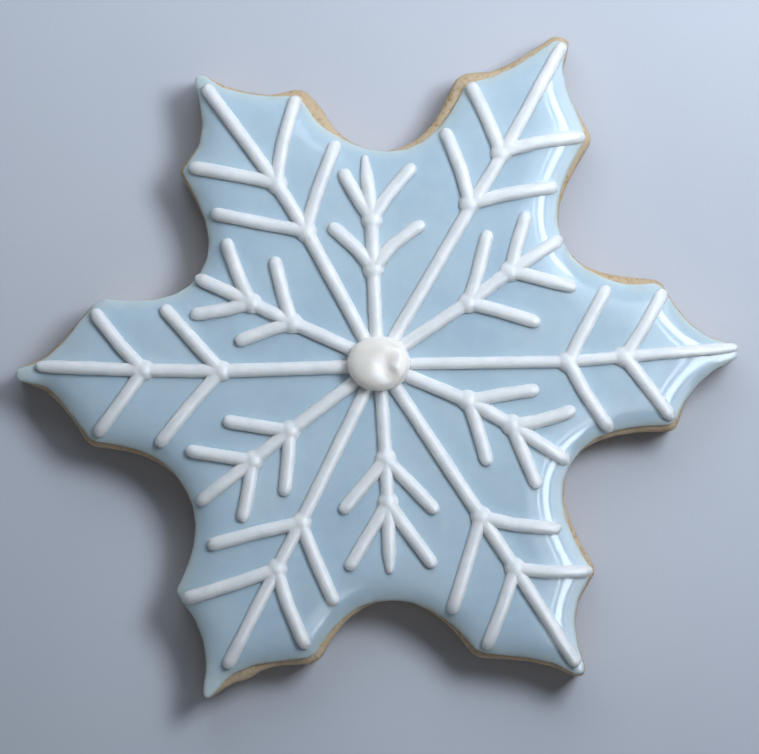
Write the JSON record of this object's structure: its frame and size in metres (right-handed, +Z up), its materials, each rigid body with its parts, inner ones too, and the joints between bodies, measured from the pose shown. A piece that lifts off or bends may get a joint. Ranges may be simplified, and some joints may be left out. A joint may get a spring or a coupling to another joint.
{
  "type": "iced sugar cookie",
  "caption": "Flat snowflake-shaped sugar cookie with a pale blue flood of royal icing, white piped snowflake sprays and a raised bead at its centre; it rests on its back.",
  "frame": {"origin": "on the underside, straight below the hub where the piped sprays meet", "axes": "+Z up out of the iced face; +X from the hub along the arm under long_spray_000; +Y completes the right-handed frame, along the iced face"},
  "size_m": [0.1004, 0.0923, 0.0122],
  "materials": {
    "biscuit": "matt, fine-crumbed baked sugar dough, golden at its edge and on its underside",
    "flood_icing": "dried pale blue flood icing, smooth with a soft gloss",
    "piping": "dried white piped royal icing, smooth with a soft gloss",
    "bead": "dried white royal icing, smooth and glossy"
  },
  "bodies": {
    "root": {"biscuit": "biscuit", "flood_icing": "flood_icing", "long_spray_000": "piping", "long_spray_060": "piping", "long_spray_120": "piping", "long_spray_180": "piping", "long_spray_240": "piping", "long_spray_300": "piping", "short_spray_030": "piping", "short_spray_090": "piping", "short_spray_150": "piping", "short_spray_210": "piping", "short_spray_270": "piping", "short_spray_330": "piping", "centre_bead": "bead"}
  },
  "joints": []
}
